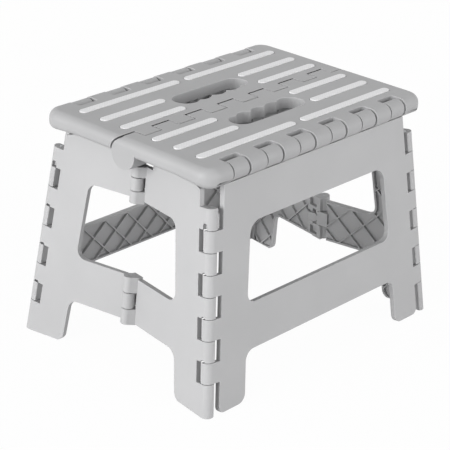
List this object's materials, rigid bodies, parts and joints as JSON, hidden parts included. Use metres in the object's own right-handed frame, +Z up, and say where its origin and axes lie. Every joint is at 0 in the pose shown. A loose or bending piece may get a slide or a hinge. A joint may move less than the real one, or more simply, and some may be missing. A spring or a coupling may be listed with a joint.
{
  "type": "folding step stool",
  "caption": "Folding plastic step stool: hinged two-part seat with hand slots and tread strips on hinged, windowed side and end panels.",
  "frame": {"origin": "on the floor under the middle of the seat", "axes": "+X along the stool's long side, +Y from the front side panel to the rear one, +Z up"},
  "size_m": [0.31, 0.2362, 0.2207],
  "materials": {
    "seat_plastic": "satin, light grain",
    "panel_plastic": "satin, light grain",
    "tread": "matte, fine diagonal ribs",
    "pin_steel": "drawn wire"
  },
  "bodies": {
    "side_front": {"side_panel_front": "panel_plastic", "hinge_rail_front": "seat_plastic", "outer_hinge_pin_front": "pin_steel", "corner_pin_front_left": "pin_steel", "corner_pin_front_right": "pin_steel"},
    "seat_front": {"seat_half_front": "seat_plastic", "centre_hinge_pin": "pin_steel", "tread_strip_front_1": "tread", "tread_strip_front_2": "tread", "tread_strip_front_3": "tread", "tread_strip_front_4": "tread", "tread_strip_front_5": "tread", "tread_strip_front_6": "tread"},
    "seat_rear": {"seat_half_rear": "seat_plastic", "tread_strip_rear_1": "tread", "tread_strip_rear_2": "tread", "tread_strip_rear_3": "tread", "tread_strip_rear_4": "tread", "tread_strip_rear_5": "tread", "tread_strip_rear_6": "tread"},
    "side_rear": {"side_panel_rear": "panel_plastic", "hinge_rail_rear": "seat_plastic", "outer_hinge_pin_rear": "pin_steel", "corner_pin_rear_left": "pin_steel", "corner_pin_rear_right": "pin_steel"},
    "end_front_left": {"end_panel_front_left": "panel_plastic", "end_hinge_pin_left_upper": "pin_steel", "end_hinge_pin_left_lower": "pin_steel"},
    "end_front_right": {"end_panel_front_right": "panel_plastic"},
    "end_rear_left": {"end_panel_rear_left": "panel_plastic"},
    "end_rear_right": {"end_panel_rear_right": "panel_plastic", "end_hinge_pin_right_upper": "pin_steel", "end_hinge_pin_right_lower": "pin_steel"}
  },
  "joints": [
    {"name": "seat_front_fold", "type": "hinge", "parent": "side_front", "child": "seat_front", "pos_m": [0, -0.0935, 0.211], "axis": [1, 0, 0], "range_deg": [0, 74.5]},
    {"name": "seat_rear_fold", "type": "hinge", "parent": "seat_front", "child": "seat_rear", "pos_m": [0, 0, 0.206], "axis": [1, 0, 0], "range_deg": [-160.5, 0]},
    {"name": "side_rear_fold", "type": "hinge", "parent": "seat_rear", "child": "side_rear", "pos_m": [0, 0.0935, 0.211], "axis": [1, 0, 0], "range_deg": [0, 75]},
    {"name": "end_front_left_fold", "type": "hinge", "parent": "side_front", "child": "end_front_left", "pos_m": [-0.14902, -0.11204, -0.00066], "axis": [0.0958, 0.1075, 0.9896], "range_deg": [-75.25, 0]},
    {"name": "end_front_right_fold", "type": "hinge", "parent": "side_front", "child": "end_front_right", "pos_m": [0.14902, -0.11204, -0.00066], "axis": [-0.0958, 0.1075, 0.9896], "range_deg": [0, 75.25]},
    {"name": "end_rear_left_fold", "type": "hinge", "parent": "side_rear", "child": "end_rear_left", "pos_m": [-0.14902, 0.11204, -0.00066], "axis": [0.0958, -0.1075, 0.9896], "range_deg": [0, 75.25]},
    {"name": "end_rear_right_fold", "type": "hinge", "parent": "side_rear", "child": "end_rear_right", "pos_m": [0.14902, 0.11204, -0.00066], "axis": [-0.0958, -0.1075, 0.9896], "range_deg": [-75.25, 0]}
  ],
  "couplings": [
    {"joint": "seat_rear_fold", "follows": "seat_front_fold", "ratio": -2.1477},
    {"joint": "side_rear_fold", "follows": "seat_front_fold", "ratio": 1},
    {"joint": "end_front_left_fold", "follows": "seat_front_fold", "ratio": -1.0034},
    {"joint": "end_front_right_fold", "follows": "seat_front_fold", "ratio": 1.0034},
    {"joint": "end_rear_left_fold", "follows": "seat_front_fold", "ratio": 1.0034},
    {"joint": "end_rear_right_fold", "follows": "seat_front_fold", "ratio": -1.0034}
  ]
}
